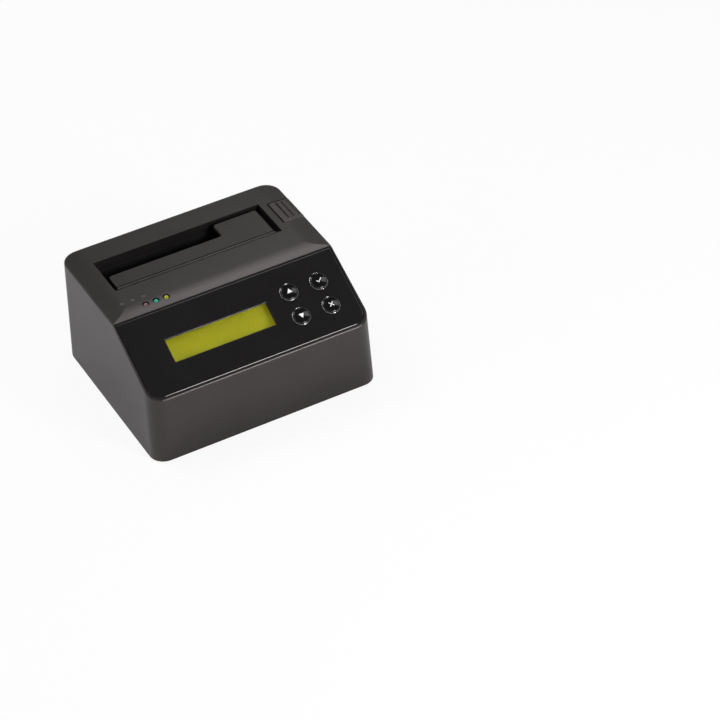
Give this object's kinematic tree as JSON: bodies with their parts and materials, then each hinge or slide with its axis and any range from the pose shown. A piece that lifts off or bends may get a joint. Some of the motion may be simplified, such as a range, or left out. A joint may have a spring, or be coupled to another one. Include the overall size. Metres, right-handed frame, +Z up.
{
  "type": "hard drive eraser",
  "caption": "Desktop hard drive eraser with a sloped gloss panel, display, round keys, status lights, a drive slot with a sprung flap and an eject button.",
  "frame": {"origin": "centre of the bounding box's bottom face, on the surface that the rubber feet stand on", "axes": "+X to the user's right along the width, +Y to the back, +Z up"},
  "size_m": [0.14, 0.12, 0.0692],
  "materials": {
    "housing_plastic": "fine matt moulded ABS, warm dark grey",
    "panel_gloss": "polished black acrylic",
    "key_gloss": "polished black key caps",
    "inner_plastic": "black moulded plastic",
    "clear_window": "clear acrylic window",
    "display_green": "yellow-green liquid crystal display glass",
    "display_frame": "black painted steel frame",
    "light_guide": "milky light guide",
    "circuit_board": "green solder mask on glass fibre board",
    "plain_steel": "plain zinc plated steel",
    "contact_gold": "gold plated contact strip",
    "foot_rubber": "soft black rubber",
    "led_red_lens": "clear reddish lens, unlit",
    "led_green_lens": "teal green lens",
    "led_amber_lens": "yellow lens",
    "chip_black": "moulded chip package",
    "can_aluminium": "drawn aluminium can",
    "cable_grey": "grey flat cable"
  },
  "bodies": {
    "chassis": {"upper_housing": "housing_plastic", "base_plate": "housing_plastic", "control_panel": "panel_gloss", "drive_well": "inner_plastic", "switch_body": "inner_plastic", "sata_connector": "inner_plastic", "dc_jack": "inner_plastic", "usb_tongue": "inner_plastic", "key_switches": "inner_plastic", "display_window": "clear_window", "lcd_glass": "display_green", "lcd_bezel": "display_frame", "lcd_backlight": "light_guide", "lcd_board": "circuit_board", "key_board": "circuit_board", "indicator_board": "circuit_board", "main_board": "circuit_board", "base_screws": "plain_steel", "board_screws": "plain_steel", "display_screws": "plain_steel", "flap_pin": "plain_steel", "eject_spring": "plain_steel", "eject_pin": "plain_steel", "usb_shell": "plain_steel", "dc_pin": "plain_steel", "sata_contacts": "contact_gold", "switch_terminals": "contact_gold", "rubber_feet": "foot_rubber", "led_red": "led_red_lens", "led_green": "led_green_lens", "led_amber": "led_amber_lens", "controller_chip": "chip_black", "power_inductor": "chip_black", "capacitors": "can_aluminium", "display_cable": "cable_grey"},
    "flap": {"slot_flap": "housing_plastic", "flap_spring": "plain_steel"},
    "eject_button": {"eject_button": "housing_plastic"},
    "eject_lever": {"eject_lever": "inner_plastic"},
    "rocker": {"power_rocker": "inner_plastic"},
    "key_up": {"key_up": "key_gloss", "plunger_up": "inner_plastic"},
    "key_down": {"key_down": "key_gloss", "plunger_down": "inner_plastic"},
    "key_accept": {"key_accept": "key_gloss", "plunger_accept": "inner_plastic"},
    "key_back": {"key_back": "key_gloss", "plunger_back": "inner_plastic"}
  },
  "joints": [
    {"name": "flap_hinge", "type": "hinge", "parent": "chassis", "child": "flap", "pos_m": [-0.002, 0.01425, 0.0672], "axis": [-1, 0, 0], "range_deg": [0, 90], "stiffness_Nm_per_rad": 0.0015, "springref_deg": -40.11},
    {"name": "eject_slide", "type": "slide", "parent": "chassis", "child": "eject_button", "axis": [0, 0, -1], "range_m": [0, 0.004], "stiffness_N_per_m": 500, "springref_m": -0.002, "deforming": ["eject_spring"]},
    {"name": "lever_pivot", "type": "hinge", "parent": "chassis", "child": "eject_lever", "pos_m": [0.046, 0.036, 0.0132], "axis": [0, 1, 0], "range_deg": [0, 15]},
    {"name": "rocker_pivot", "type": "hinge", "parent": "chassis", "child": "rocker", "pos_m": [0.024, 0.05723, 0.04314], "axis": [-1, 0, 0], "range_deg": [0, 16]},
    {"name": "key_up_press", "type": "slide", "parent": "chassis", "child": "key_up", "axis": [0, 0.4833, -0.8755], "range_m": [0, 0.0005], "stiffness_N_per_m": 2500, "springref_m": -0.0003},
    {"name": "key_down_press", "type": "slide", "parent": "chassis", "child": "key_down", "axis": [0, 0.4833, -0.8755], "range_m": [0, 0.0005], "stiffness_N_per_m": 2500, "springref_m": -0.0003},
    {"name": "key_accept_press", "type": "slide", "parent": "chassis", "child": "key_accept", "axis": [0, 0.4833, -0.8755], "range_m": [0, 0.0005], "stiffness_N_per_m": 2500, "springref_m": -0.0003},
    {"name": "key_back_press", "type": "slide", "parent": "chassis", "child": "key_back", "axis": [0, 0.4833, -0.8755], "range_m": [0, 0.0005], "stiffness_N_per_m": 2500, "springref_m": -0.0003}
  ],
  "couplings": [
    {"joint": "lever_pivot", "follows": "eject_slide", "rad_per_m": 65}
  ]
}
